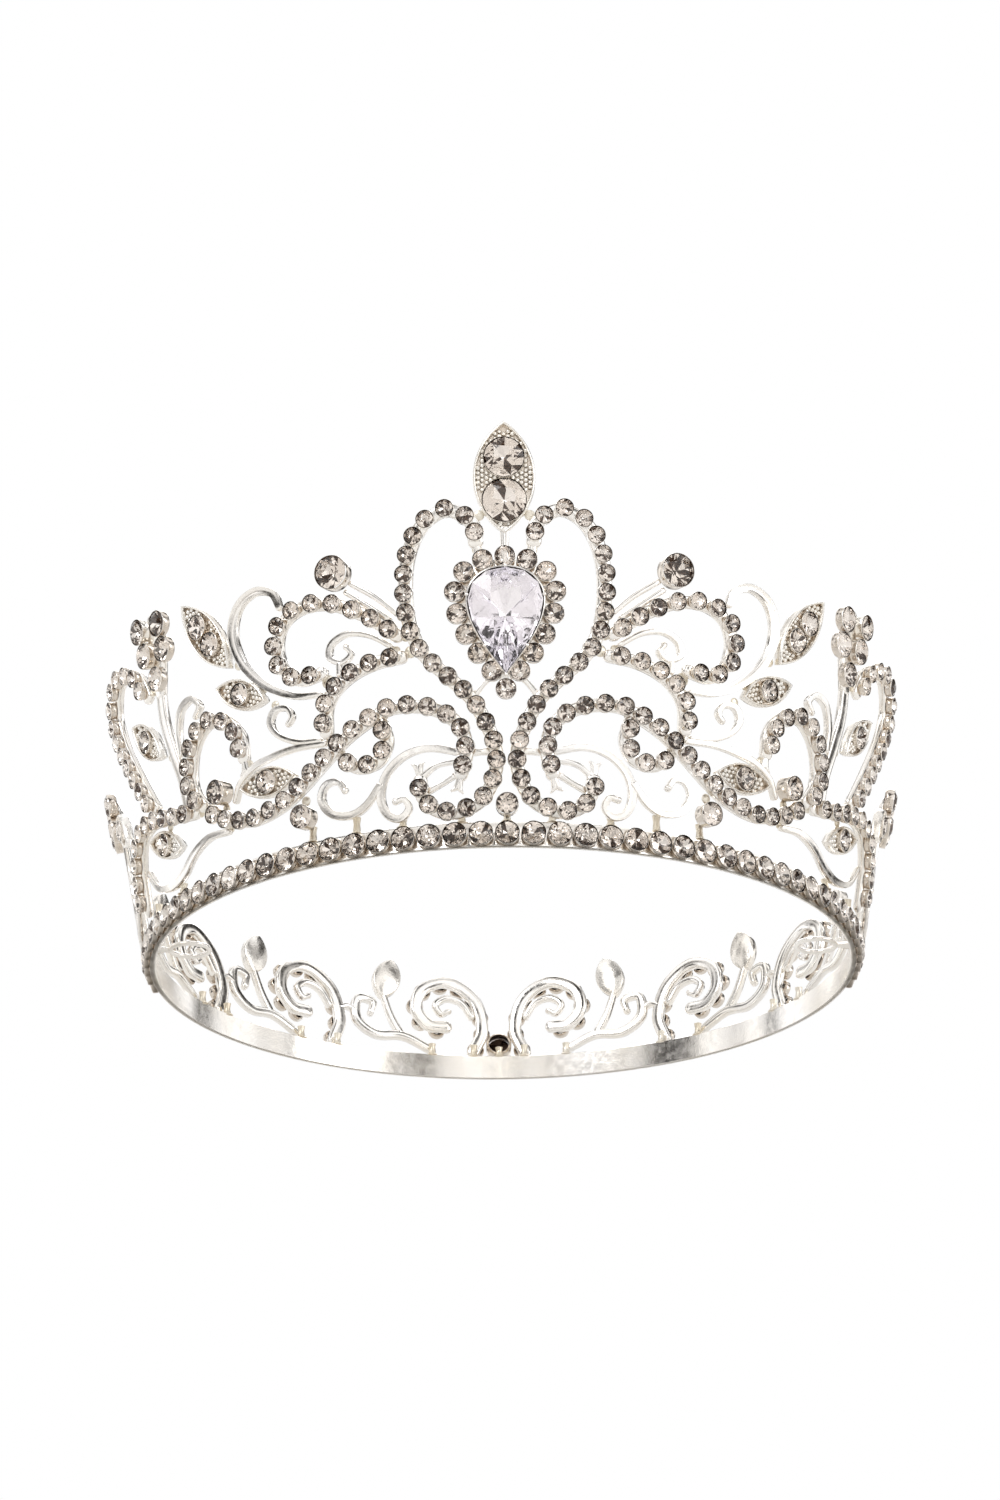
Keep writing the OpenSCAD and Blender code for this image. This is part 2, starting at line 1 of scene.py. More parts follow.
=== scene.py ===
import random
from math import atan2, ceil, copysign, cos, floor, pi, radians, sin, sqrt

import bmesh
import bpy
from mathutils import Matrix, Vector


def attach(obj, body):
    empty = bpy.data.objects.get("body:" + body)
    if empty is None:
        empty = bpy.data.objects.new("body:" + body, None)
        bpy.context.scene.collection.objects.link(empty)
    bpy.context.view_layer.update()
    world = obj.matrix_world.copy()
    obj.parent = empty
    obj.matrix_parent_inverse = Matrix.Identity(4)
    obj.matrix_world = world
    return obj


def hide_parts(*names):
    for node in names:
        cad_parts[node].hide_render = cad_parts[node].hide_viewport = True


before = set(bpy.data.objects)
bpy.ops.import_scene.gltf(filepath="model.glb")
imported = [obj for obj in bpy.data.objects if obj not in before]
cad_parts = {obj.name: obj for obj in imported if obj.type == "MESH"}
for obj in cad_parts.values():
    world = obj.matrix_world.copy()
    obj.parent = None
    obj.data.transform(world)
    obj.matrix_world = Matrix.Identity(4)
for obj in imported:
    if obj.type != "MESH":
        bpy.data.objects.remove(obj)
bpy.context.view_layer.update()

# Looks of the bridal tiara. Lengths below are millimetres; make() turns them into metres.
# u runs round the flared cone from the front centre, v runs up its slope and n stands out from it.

# ---------- sizes, as in the CAD part ----------

BAND_R = 70.0
BAND_H = 5.0
BAND_WALL = 1.0
FLARE = radians(10)
CONE_R = BAND_R + 0.6
BACK_U = pi * CONE_R
SCROLL_T = 1.7
STRAND_W = 2.6
CUP_WALL = 0.16
CUP_H = 1.25
SMALL_STONE = 3.3
PITCH = 3.65
BAND_STONE = 4.4
BAND_STONE_STEP = 4
BAND_STONES_A_SIDE = 25
BAND_STONE_Z = BAND_H / 2 - 0.1

HEART = [(4.8, 58.2), (5.4, 62), (9.3, 64.7), (13.6, 62), (16.2, 56), (16.9, 49), (16.3, 42.5),
         (14.2, 37.2), (10.2, 32.6), (6.3, 28.3), (3.7, 23.5), (2, 18.5), (2.1, 13.8), (4.3, 9),
         (8.5, 6.6), (12.8, 7), (15.5, 9.9), (15.8, 13)]
UPPER_LOOP = [(18.7, 41.2), (21.6, 43.9), (25.6, 46.8), (30.5, 49.2), (35.5, 49.6), (39.5, 47.6),
              (41.3, 43.5), (40.6, 38.9), (37.2, 35.8), (33, 36.2)]
CREST = [(18.2, 37), (22.5, 36.5), (27, 35), (30.6, 32.4), (32.6, 29), (33, 24.6)]
SWOOP = [(8.3, 13.6), (7.2, 18), (8.2, 22.7), (11.5, 25.8), (16, 27.3), (20.8, 27.3), (25, 25.4),
         (29.2, 22.9), (33.8, 19.2), (38.4, 15.6), (43.3, 12.8), (50, 11.5), (56.6, 13.2), (61, 15.9)]
EYE = [(22.4, 24.7), (21.6, 21), (23.4, 17.6), (27.2, 16.9), (30, 19)]
LEAF_LOOP = [(63.4, 17.9), (65.6, 21.8), (65.3, 26), (63.4, 30), (60, 32.8), (56.6, 33),
             (53.4, 31.2), (51.4, 27.8), (51.3, 24)]
SIDE_RAIL = [(66.3, 17.4), (72, 18.5), (78, 20), (84, 20.6), (89, 18.8), (92.3, 14), (93.3, 6.6)]
SIDE_ARCH = [(79.8, 23), (84.8, 31), (89.6, 39.5), (91.4, 46.5), (87.5, 51.6), (82, 51.3),
             (77.8, 48.8), (76, 44.4)]
HOOK = [(33.6, 32.2), (39, 33.1), (45, 36.8), (49.2, 42.3), (50.6, 48), (48.8, 53), (44.9, 55.1),
        (41.3, 53.8), (40.1, 50.7)]
LOWER = [(8.6, 17.9), (14, 19.1), (18.6, 18), (22.1, 14.8), (23.4, 10.6), (22.3, 7.2), (19.9, 6.2),
         (18.2, 7.8), (19, 9.8), (20.6, 9.5)]
LOWER_BRANCH = [(23.4, 13), (26.2, 9.6), (29.4, 8.1), (33.2, 8.9), (35.2, 11.9), (34.1, 14.6),
                (31.6, 14.9), (30.3, 13)]
UPPER_BRIDGE = [(8.7, 16.3), (12.6, 15.7), (15.3, 13.7)]
LOWER_BRIDGE = [(9.7, 13.4), (12, 12), (14.2, 10.9)]
CROSS_BAR = [(3.3, 17.9), (4.5, 17.8), (5.8, 17.8)]
VINE_INNER = [(19.9, 39.3), (23.7, 42), (27.6, 42.9), (30.6, 41.5), (31.2, 38.9), (29, 37.6),
              (27.2, 38.8), (28, 40.4)]
VINE_POST = [(29.5, 37.4), (29.6, 36.6), (29.6, 35.2)]
VINE_TOP = [(34.4, 23.4), (38.8, 24), (42.6, 26), (44.4, 28.8), (43.2, 31.2), (40.6, 31), (39.7, 29.2),
            (40.6, 27.9)]
VINE_BASE = [(33.6, 22.6), (39, 23), (44, 22.6), (49, 21.6), (52.8, 19.3), (54.6, 16.2)]
PILLAR = [(71.6, 44.4), (71.8, 38), (70.3, 31), (68.7, 25), (68.2, 19.6)]
PILLAR_HEAD = [(71.6, 43.6), (70.9, 50.5), (70.6, 57.5)]
PILLAR_CURL = [(67.9, 29.8), (67.9, 34.4), (66.2, 38.2), (62.9, 39.3), (60.9, 37.3), (62.2, 35.5)]
BOWL = [(57.5, 11.1), (63, 11.5), (68.3, 9.9), (72.8, 7.3), (78, 6.4), (84, 8.1), (88.3, 12.6)]
STEM_OUTER = [(18.6, 45.4), (22, 49), (26.2, 52.4)]
STEM_INNER = [(19.9, 44.6), (23.6, 47.7), (27.2, 50.9)]
LOW_STEM = [(112.5, 5.8), (111, 14), (112.8, 21.5), (113, 28.5)]
LOW_CURL_FRONT = [(111.3, 7), (104.5, 8.6), (101.2, 13.2), (103, 18.2), (107, 17.9), (106.6, 14.8)]
LOW_CURL_BACK = [(113.7, 7), (120.4, 8.6), (123.6, 13.2), (121.8, 18.2), (117.8, 17.9), (118.2, 14.8)]
LOW_TIE = [(90.6, 19.4), (94.5, 21.4), (97, 22.6)]

# The back repeats one motif, measured from the back centre towards a side.
BACK_STARTS = [2, 32.5, 63]
BACK_STRAND = [(3.4, 6.4), (1.4, 12), (2.9, 19), (8, 23.2), (13.3, 21.4), (14.9, 16.6), (12.6, 12.9),
               (8.9, 12.5)]
BACK_TENDRIL = [(3.6, 15), (5.6, 18.4), (8.6, 19.4), (10.9, 17.7), (9.8, 15.6), (8.2, 16.4)]
BACK_TIE = [(28.3, 14.6), (30, 15.4), (31.8, 14.8)]
BACK_STEM = [(18.8, 10.4), (20.6, 14.4), (22, 19.8)]
BACK_HOOK = [(12, 6.6), (18, 9.7), (24, 9.6), (28, 12.8), (27.4, 17.6), (24.2, 17.2), (24.8, 14.6)]

# Single stones as (u, v, diameter), and leaves as (base tip, point, width, stone diameter, stones).
BOBBLE = (29.2, 54.9, 6.4)
SIDE_STUDS = [(38.9, 9.3, 4.4), (57.8, 18.9, 4.6)]
PILLAR_STUDS = [(67.5, 56.3, 4.9), (73.8, 57, 4.9), (67.1, 51, 4.9), (72.9, 51.7, 4.9),
                (70.2, 46, 4.6)]
LOW_HEAD = (113, 33.2)
LOW_STUDS = [(LOW_HEAD[0] + 3.7 * cos(radians(a)), LOW_HEAD[1] + 3.7 * sin(radians(a)), 4.8)
             for a in (45, 135, 225, 315)]
CENTRE_STUD = (0, 7.6, 4)
BACK_STUD = (BACK_U, 8.4, 5)
DOUBLE_LEAF = ((51.3, 41.9), (62, 57.6), 7.6, 4.6, 2)
SMALL_LEAVES = [((43.9, 33.4), (56, 38.8), 6, 4.1, 1), ((39.4, 17.8), (53, 17.9), 6, 4.4, 1),
                ((73.2, 31.2), (83.6, 41), 6.2, 4.3, 1), ((70.9, 12.3), (83.8, 17), 5.6, 4.2, 1),
                ((98, 23), (107.4, 31.4), 6.2, 4.3, 1)]
BACK_LEAF = ((22.4, 18.4), (19.4, 27.8), 6, 3.7, 1)
FINIAL_V = 70.7
FINIAL = (22, 11.9)
FINIAL_STONES = [(3.8, 7.7), (-4.6, 8.4)]
PEAR_V = 42.5
PEAR_W = 14.8
PEAR_H = 20.4
HALO_COUNT = 16
HALO_STONE = 3.7
HALO_GAP = 1.7
POSTS = [(8.6, 7), (20, 6.6), (29.4, 8.2), (38.9, 8), (77.6, 7), (93.3, 8), (112.5, 8)]
PADS = [(4.6, 56.9, 1.3), (4.2, 63.6, 1.4), (17.3, 41.2, 1.5), (16.6, 38, 1.6), (18, 45, 1.1),
        (19.2, 38.6, 1.1), (22.4, 25.8, 1.4), (30.8, 20.3, 1.2), (32.2, 34.5, 1.8), (32.6, 31.9, 1.2),
        (32.4, 23, 1.7), (43.5, 32.4, 1.2), (45.7, 36, 1.2), (50.6, 42.3, 1.4), (38.5, 17.1, 1.4),
        (38.9, 12.6, 1.3), (50.9, 22.4, 1.5), (58, 15.8, 1.3), (57.3, 11.8, 1.2), (62.2, 16.9, 1.4),
        (65.2, 17.4, 1.5), (68.2, 19.3, 1.3), (72.3, 31, 1.5), (76.6, 18.2, 1.4), (79.6, 22.2, 1.5),
        (74, 45.4, 1.8), (90.6, 19, 1.3), (97.4, 22.8, 1.2), (108.1, 31.3, 1.4)]
LOOP_TURN = radians(88)
LOOP_REACH = 6.8
LOOP_CENTRE = BAND_R - BAND_WALL - LOOP_REACH
LOOP_R = 3.4
LOOP_Z = 3.95

# ---------- geometry on the cone ----------


def on_cone(u, v, n):
    turn = u / CONE_R
    radius = CONE_R + v * sin(FLARE) + n * cos(FLARE)
    return Vector((radius * sin(turn), -radius * cos(turn), v * cos(FLARE) - n * sin(FLARE)))


def seat(u, v, n=0.0, spin=0.0):
    """The place at u, v, n with +X round the cone, +Y up its slope and +Z outwards, then spun about +Z."""
    return (Matrix.Translation(on_cone(u, v, n)) @ Matrix.Rotation(u / CONE_R, 4, "Z")
            @ Matrix.Rotation(pi / 2 + FLARE, 4, "X") @ Matrix.Rotation(spin, 4, "Z"))


def band_seat(turn, z):
    """The place on the band's outer face at that turn and height, with +Z pointing straight out."""
    return (Matrix.Rotation(turn, 4, "Z") @ Matrix.Translation((0, -BAND_R, z))
            @ Matrix.Rotation(pi / 2, 4, "X"))


def curve(knots, steps):
    """Catmull-Rom curve through the knots, with its end tangents taken from the end chords."""
    k = [Vector(p) for p in knots]
    k = [2 * k[0] - k[1]] + k + [2 * k[-1] - k[-2]]
    path = []
    for a, b, c, d in zip(k, k[1:], k[2:], k[3:]):
        for step in range(steps):
            t = step / steps
            path.append(0.5 * (2 * b + (c - a) * t + (2 * a - 5 * b + 4 * c - d) * t * t
                               + (3 * b - a - 3 * c + d) * t * t * t))
    return path + [k[-2]]


def travelled(path):
    lengths = [0.0]
    for a, b in zip(path, path[1:]):
        lengths.append(lengths[-1] + (b - a).length)
    return lengths


def along(path, lengths, at):
    """The point of the path at that distance from its start."""
    for i in range(1, len(path)):
        if at <= lengths[i] or i == len(path) - 1:
            share = (at - lengths[i - 1]) / max(lengths[i] - lengths[i - 1], 1e-9)
            return path[i - 1].lerp(path[i], share)


def stations(knots):
    """Centres of the small stones along a strand, as (u, v)."""
    path = curve(knots, 8)
    lengths = travelled(path)
    inset = SMALL_STONE / 2
    room = lengths[-1] - 2 * inset
    gaps = floor(room / PITCH)
    return [along(path, lengths, inset + i * room / gaps) for i in range(gaps + 1)]


def shifted(knots, start):
    return [(BACK_U - start - u, v) for u, v in knots]


# ---------- shapes ----------


class Shape:
    """Points, faces and material numbers of one piece, gathered in millimetres."""

    def __init__(self):
        self.points = []
        self.faces = []
        self.kinds = []

    def add(self, points, faces, kinds=0, place=None):
        start = len(self.points)
        self.points += [place @ Vector(p) if place else Vector(p) for p in points]
        self.faces += [tuple(start + i for i in face) for face in faces]
        self.kinds += kinds if isinstance(kinds, list) else [kinds] * len(faces)

    def mirrored(self):
        twin = Shape()
        twin.points = [Vector((-p.x, p.y, p.z)) for p in self.points]
        twin.faces = [tuple(reversed(face)) for face in self.faces]
        twin.kinds = list(self.kinds)
        return twin


def skin(rings, closed=False):
    """Points and faces that join rings of equal length, with flat ends unless the rings close on themselves."""
    sides = len(rings[0])
    points = [p for ring in rings for p in ring]
    faces = []
    for i in range(len(rings) if closed else len(rings) - 1):
        a = i * sides
        b = (i + 1) % len(rings) * sides
        faces += [(a + j, a + (j + 1) % sides, b + (j + 1) % sides, b + j) for j in range(sides)]
    if not closed:
        faces.append(tuple(reversed(range(sides))))
        faces.append(tuple((len(rings) - 1) * sides + j for j in range(sides)))
    return points, faces


def lathe(profile, segments, closed=False):
    """Rings of a profile of (radius, height) turned about +Z."""
    return skin([[(r * cos(2 * pi * i / segments), r * sin(2 * pi * i / segments), z)
                  for i in range(segments)] for r, z in profile], closed)


def ball(shape, radius, place, kind=0, squash=1.0, segments=12):
    steps = segments // 2
    profile = [(max(radius * sin(pi * i / steps), 0.01), -radius * squash * cos(pi * i / steps))
               for i in range(steps + 1)]
    points, faces = lathe(profile, segments)
    shape.add(points, faces, kind, place)


SECTION_SIDES = 16
SECTION_SIDE_POWER = 0.5
SECTION_FACE_POWER = 0.6
TIP_RINGS = 4


def section(width, dip, thickness=SCROLL_T):
    """A rounded bar as (across, outward); dip hollows its face between two raised edges."""
    loop = []
    for i in range(SECTION_SIDES):
        c = cos(2 * pi * i / SECTION_SIDES)
        s = sin(2 * pi * i / SECTION_SIDES)
        across = width / 2 * copysign(abs(c) ** SECTION_SIDE_POWER, c)
        out = thickness / 2 * copysign(abs(s) ** SECTION_FACE_POWER, s)
        if s > 0.01:
            out -= dip * (1 - (2 * across / width) ** 2)
        loop.append((across, out))
    return loop


def sweep(shape, knots, widths, dip=0.0, thickness=SCROLL_T, knob=0.0, steps=6):
    """A bar over the cone with round tips. Its width runs evenly through the given widths."""
    path = curve(knots, steps)
    last = len(path) - 1
    rings = []

    def ring(p, heading, width, scale, ahead):
        at = p + heading * ahead
        hollow = dip * max(0.0, min(1.0, (width - 0.7) / 1.1))
        rings.append([on_cone(at.x - a * heading.y, at.y + a * heading.x, n)
                      for a, n in ((a * scale, n * scale) for a, n in section(width, hollow, thickness))])

    def width_at(share):
        place = share * (len(widths) - 1)
        i = min(int(place), len(widths) - 2)
        return widths[i] + (widths[i + 1] - widths[i]) * (place - i)

    for i, p in enumerate(path):
        heading = (path[min(i + 1, last)] - path[max(i - 1, 0)]).normalized()
        width = width_at(i / last)
        if i == 0:
            for t in range(TIP_RINGS, 0, -1):
                angle = t * pi / 2 / (TIP_RINGS + 0.5)
                ring(p, heading, width, cos(angle), -width / 2 * sin(angle))
        ring(p, heading, width, 1.0, 0.0)
        if i == last:
            for t in range(1, TIP_RINGS + 1):
                angle = t * pi / 2 / (TIP_RINGS + 0.5)
                ring(p, heading, width, cos(angle), width / 2 * sin(angle))
    shape.add(*skin(rings))
    if knob:
        end = path[-1]
        ball(shape, knob, seat(end.x, end.y, 0.15))


def fishtail(shape, knots, at_end, length=2.0, spread=1.1):
    """Two short points that spread from a strand's end, as cast on the real scroll."""
    k = [Vector(p) for p in (knots if at_end else knots[::-1])]
    heading = (k[-1] - k[-2]).normalized()
    side = Vector((-heading.y, heading.x))
    root = k[-1] + heading * (SMALL_STONE / 2 - 0.3)
    for s in (-1, 1):
        tip = root + heading * length + side * s * spread
        middle = root + heading * length * 0.55 + side * s * spread * 0.25
        sweep(shape, [tuple(root - heading), tuple(middle), tuple(tip)], [1.2, 1.1, 0.3], steps=3, thickness=1.2)


# ---------- stones and cups ----------

GLASS, FOIL, DARK_REFLECTION = 0, 1, 2
# The second kind, on the inside of a cup, is painted shade between cup and stone.
PLATE, GAP_SHADE = 0, 1
STONE_GAP = 0.03
RIM = 0.06


def cut_stone(outline, crown, depth, table, chance, shade, culet=(0.0, 0.0), middle=0.78, low=0.5,
              girdle=0.05):
    """A closed faceted stone whose girdle lies at height 0. outline(k, scale) gives sixteen points.

    A share of the back facets, shade, is painted dark: painted reflections of dark surroundings."""
    girdle_scale = 1.0
    rise = crown * (girdle_scale - middle * cos(pi / 8)) / (girdle_scale - table)
    fall = -girdle - (depth - girdle) * (1 - low * cos(pi / 8))
    points = [(*outline(2 * k, table), crown) for k in range(8)]
    points += [(*outline(2 * k + 1, middle), rise) for k in range(8)]
    points += [(*outline(k, girdle_scale), 0) for k in range(16)]
    points += [(*outline(k, girdle_scale), -girdle) for k in range(16)]
    points += [(*(culet[j] * (1 - low) + outline(2 * k + 1, low)[j] for j in (0, 1)), fall) for k in range(8)]
    points.append((*culet, -depth))
    mid, top, bottom, under, tip = 8, 16, 32, 48, 56
    faces = [tuple(range(8))]
    for k in range(8):
        n = (k + 1) % 8
        faces.append((k, mid + k, n))
        faces.append((k, mid + (k - 1) % 8, top + 2 * k, mid + k))
        faces.append((mid + k, top + 2 * k, top + 2 * k + 1))
        faces.append((mid + k, top + 2 * k + 1, top + (2 * k + 2) % 16))
    kinds = [GLASS] * len(faces)
    for k in range(16):
        faces.append((top + k, top + (k + 1) % 16, bottom + (k + 1) % 16, bottom + k))
    for k in range(8):
        faces.append((tip, under + (k - 1) % 8, bottom + 2 * k, under + k))
        faces.append((under + k, bottom + 2 * k, bottom + 2 * k + 1))
        faces.append((under + k, bottom + 2 * k + 1, bottom + (2 * k + 2) % 16))
    # Painted reflection: the chosen facets take the third, dark material, standing in for reflections of dark
    # surroundings.
    kinds += [DARK_REFLECTION if chance.random() < shade else FOIL for _ in range(len(faces) - len(kinds))]
    return points, faces, kinds


def round_stone(shape, diameter, place, room, chance):
    """A chaton set in a cup at place. room is the height between its girdle and what lies under the cup."""
    r = diameter / 2 - STONE_GAP

    def circle(k, scale):
        return r * scale * cos(pi * k / 8), r * scale * sin(pi * k / 8)

    tilt = Matrix.Rotation(radians(chance.uniform(-3.5, 3.5)), 4, "X") @ Matrix.Rotation(
        radians(chance.uniform(-3.5, 3.5)), 4, "Y") @ Matrix.Rotation(chance.uniform(0, pi), 4, "Z")
    points, faces, kinds = cut_stone(circle, 0.15 * diameter, min(0.42 * diameter, room),
                                     chance.uniform(0.5, 0.56), chance, 0.34 if diameter > 6 else 0.2)
    shape.add(points, faces, kinds, place @ Matrix.Translation((0, 0, CUP_H - 0.08)) @ tilt)


def round_cup(shape, diameter, place, foot=0.0, foot_r=0.8):
    """A thin spun cup. Its inside is painted dark: painted shade that outlines the stone."""
    out = diameter / 2 + CUP_WALL
    inner = out - RIM
    profile = [(out * foot_r, -foot - 0.1), (out * 0.94, -foot + 0.15), (out, -foot + 0.45),
               (out, CUP_H - 0.1), (out - 0.02, CUP_H), (out - 0.07, CUP_H + 0.04),
               (inner + 0.02, CUP_H + 0.02), (inner, CUP_H - 0.05), (inner - 0.02, CUP_H - 0.5),
               (inner * 0.8, 0.0 if foot == 0 else -foot)]
    segments = 24 if diameter < 5 else 36
    points, faces = lathe(profile, segments, closed=True)
    kinds = [PLATE] * (7 * segments) + [GAP_SHADE] * (3 * segments)
    shape.add(points, faces, kinds, place)


def marquise_point(share, length, width):
    """A point of the marquise outline; share runs once round it from the point on +X."""
    arc_r = (length * length + width * width) / (4 * width)
    side = 1 if share < 0.5 else -1
    x = length / 2 * cos(2 * pi * share)
    y = sqrt(max(arc_r * arc_r - x * x, 0)) - (arc_r - width / 2)
    return x, side * max(y, 0)


LEAF_H = 1.9
LEAF_RIM = 0.5
LEAF_FLOOR = 0.55
CUP_ON_LEAF = 0.9
GRAIN_R = 0.5
GRAIN_STEP = 0.95


def leaf(shape, length, width, stones, place, chance):
    """A marquise tray with a rounded rim, cups on its floor and a field of small cast grains between."""
    count = 56

    def ring(inset, z):
        return [(*marquise_point(i / count, length - 2.6 * inset, width - 2 * inset), z) for i in range(count)]

    rings = [ring(0.25, 0), ring(0.05, 0.15), ring(0, 0.6), ring(0.04, LEAF_H - 0.3),
             ring(0.16, LEAF_H - 0.06), ring(0.3, LEAF_H), ring(0.44, LEAF_H - 0.08),
             ring(LEAF_RIM + 0.04, LEAF_H - 0.35), ring(LEAF_RIM + 0.1, LEAF_FLOOR)]
    shape.add(*skin(rings), 0, place)
    for x, d in stones:
        round_cup(shape, d, place @ Matrix.Translation((x, 0, CUP_ON_LEAF)), foot=0.3, foot_r=0.96)
    arc_r = (length * length + width * width) / (4 * width)
    rows = ceil(width / GRAIN_STEP)
    for row in range(-rows, rows + 1):
        for column in range(-ceil(length / GRAIN_STEP), ceil(length / GRAIN_STEP) + 1):
            x = (column + 0.5 * (row % 2)) * GRAIN_STEP
            y = row * GRAIN_STEP * 0.87
            edge = sqrt(max(arc_r ** 2 - x * x, 0)) - (arc_r - width / 2) - abs(y)
            clear = min([Vector((x - sx, y)).length - d / 2 - CUP_WALL for sx, d in stones])
            if edge > LEAF_RIM + 0.22 and clear > 0.12 and abs(x) < length / 2 - 1.6:
                ball(shape, GRAIN_R * chance.uniform(0.85, 1.1),
                     place @ Matrix.Translation((x, y, CUP_ON_LEAF + chance.uniform(-0.05, 0.1))), 0, 0.9, 8)


def leaf_place(spec):
    a, b = Vector(spec[0]), Vector(spec[1])
    return seat(*((a + b) / 2), -SCROLL_T / 2, atan2(b.y - a.y, b.x - a.x)), (b - a).length


def leaf_stones(spec):
    d = spec[3]
    return [(0, d)] if spec[4] == 1 else [(-0.52 * d, d), (0.6 * d, d)]


def scroll_leaf(shape, spec, chance):
    place, length = leaf_place(spec)
    leaf(shape, length, spec[2], leaf_stones(spec), place, chance)


def back_leaf(start):
    return (*shifted(BACK_LEAF[:2], start), *BACK_LEAF[2:])


# ---------- pear drop ----------

PEAR_SWELL = 1.3
PEAR_POINT_POWER = 1.2
PEAR_PLATE_H = 1.2
PEAR_GIRDLE_Z = 2.95


def pear_point(angle, grow):
    return ((PEAR_W / 2 + grow) * PEAR_SWELL * sin(angle) * sin(angle / 2) ** PEAR_POINT_POWER,
            -(PEAR_H / 2 + grow) * cos(angle))


def pear_signed(angle, grow):
    """The same outline for a whole turn: the second half mirrors the first."""
    if angle > pi:
        x, y = pear_point(2 * pi - angle, grow)
        return -x, y
    return pear_point(angle, grow)


def pear_ring(grow, z, count=64):
    return [(*pear_signed(2 * pi * i / count, grow), z) for i in range(count)]


def halo_places():
    grow = HALO_GAP + HALO_STONE / 4
    path = [Vector(pear_signed(radians(a), grow)) for a in range(0, 366, 6)]
    lengths = travelled(path)
    return [along(path, lengths, i * lengths[-1] / HALO_COUNT) for i in range(HALO_COUNT)]


PEAR_PLACE = seat(0, PEAR_V)


def pear_setting():
    shape = Shape()
    plate = [pear_ring(HALO_GAP + 0.3, -0.8), pear_ring(HALO_GAP + 0.6, -0.6), pear_ring(HALO_GAP + 0.6, -0.2),
             pear_ring(HALO_GAP + 0.35, 0)]
    shape.add(*skin(plate), PLATE, PEAR_PLACE)
    wall = [pear_ring(0.45, -0.1), pear_ring(0.45, PEAR_GIRDLE_Z - 0.25), pear_ring(0.36, PEAR_GIRDLE_Z - 0.08),
            pear_ring(0.22, PEAR_GIRDLE_Z - 0.02), pear_ring(0.1, PEAR_GIRDLE_Z - 0.1),
            pear_ring(0.06, PEAR_GIRDLE_Z - 0.4), pear_ring(0.0, 0.0)]
    points, faces = skin(wall, closed=True)
    # The two inner rings of the wall take the dark material: painted shade round the pear stone.
    shape.add(points, faces, [PLATE] * (5 * 64) + [GAP_SHADE] * (2 * 64), PEAR_PLACE)
    for degrees in (0, 62, 118, 180, 242, 298):
        at = Vector(pear_signed(radians(degrees), 0.28))
        ball(shape, 0.42, PEAR_PLACE @ Matrix.Translation((at.x, at.y, PEAR_GIRDLE_Z - 0.05)), PLATE)
    sweep(shape, [(0, PEAR_V + PEAR_H / 2 + 1), (0, PEAR_V + PEAR_H / 2 + 4), (0, PEAR_V + PEAR_H / 2 + 8)],
          [1.6, 1.3, 1.6], thickness=1.2)
    for side in (-1, 1):
        sweep(shape, [(side * 2.4, PEAR_V - 10), (side * 4, PEAR_V - 11.8), (side * 5.6, PEAR_V - 14)],
              [1.2, 1.0, 1.2], thickness=1.2)
    return shape


def pear_stone(chance):
    shape = Shape()
    centre = Vector((0, 2.6))
    angles = [pi * (k / 8) for k in range(16)]

    def outline(k, scale):
        p = Vector(pear_signed(angles[k % 16], 0))
        q = centre + (p - centre) * scale
        return q.x, q.y

    points, faces, kinds = cut_stone(outline, 1.75, 2.7, 0.46, chance, 0.02, culet=(0.0, 1.0), middle=0.74,
                                     low=0.42)
    shape.add(points, faces, kinds, PEAR_PLACE @ Matrix.Translation((0, 0, PEAR_GIRDLE_Z)))
    return shape


# ---------- groups ----------

STRANDS = {"heart_scroll": HEART, "upper_loop": UPPER_LOOP, "crest_scroll": CREST, "swoop_scroll": SWOOP,
           "eye_curl": EYE, "leaf_loop": LEAF_LOOP, "side_rail": SIDE_RAIL, "side_arch": SIDE_ARCH}
FISHTAILS = {"heart_scroll": (False, True), "eye_curl": (False,), "leaf_loop": (True,),
             "swoop_scroll": (False,)}


def strand(shape, knots):
    sweep(shape, knots, [STRAND_W, STRAND_W])


def plain(shape, knots, widths=(1.3, 1.7, 1.1), knob=0.0, dip=0.45):
    sweep(shape, knots, list(widths), dip, knob=knob)


def lower_scroll(shape, chance):
    plain(shape, LOWER, knob=0.75)
    plain(shape, LOWER_BRANCH, knob=0.75)
    plain(shape, UPPER_BRIDGE, (1.2, 1, 1.2))
    plain(shape, LOWER_BRIDGE, (1.2, 1, 1.2))
    plain(shape, CROSS_BAR, (1.4, 1.1, 1.4))


def vine_curls(shape, chance):
    plain(shape, VINE_INNER, (1, 1.3, 0.9), knob=0.65)
    plain(shape, VINE_POST, (1, 1, 1))
    plain(shape, VINE_TOP, (1, 1.4, 0.9), knob=0.65)
    plain(shape, VINE_BASE, (1.2, 1.4, 0.9))


def pillar(shape, chance):
    plain(shape, PILLAR, (2.2, 2.6, 2.2))
    plain(shape, PILLAR_HEAD, (2.6, 5, 4.6), dip=0.2)
    plain(shape, PILLAR_CURL, (1.1, 1.5, 0.9), knob=0.65)


def bobble_stem(shape, chance):
    plain(shape, STEM_OUTER, (0.9, 1.1, 1.2), dip=0)
    plain(shape, STEM_INNER, (0.9, 1.1, 1.2), dip=0)
    u, v, d = BOBBLE
    round_cup(shape, d, seat(u, v, SCROLL_T / 2), foot=SCROLL_T, foot_r=0.72)


def low_pillar(shape, chance):
    plain(shape, LOW_STEM, (2.8, 2.2, 2.6))
    ball(shape, 4.2, seat(*LOW_HEAD), 0, 0.2, 32)
    plain(shape, LOW_CURL_FRONT, knob=0.75)
    plain(shape, LOW_CURL_BACK, knob=0.75)
    plain(shape, LOW_TIE, (1.2, 1.2, 1.2))


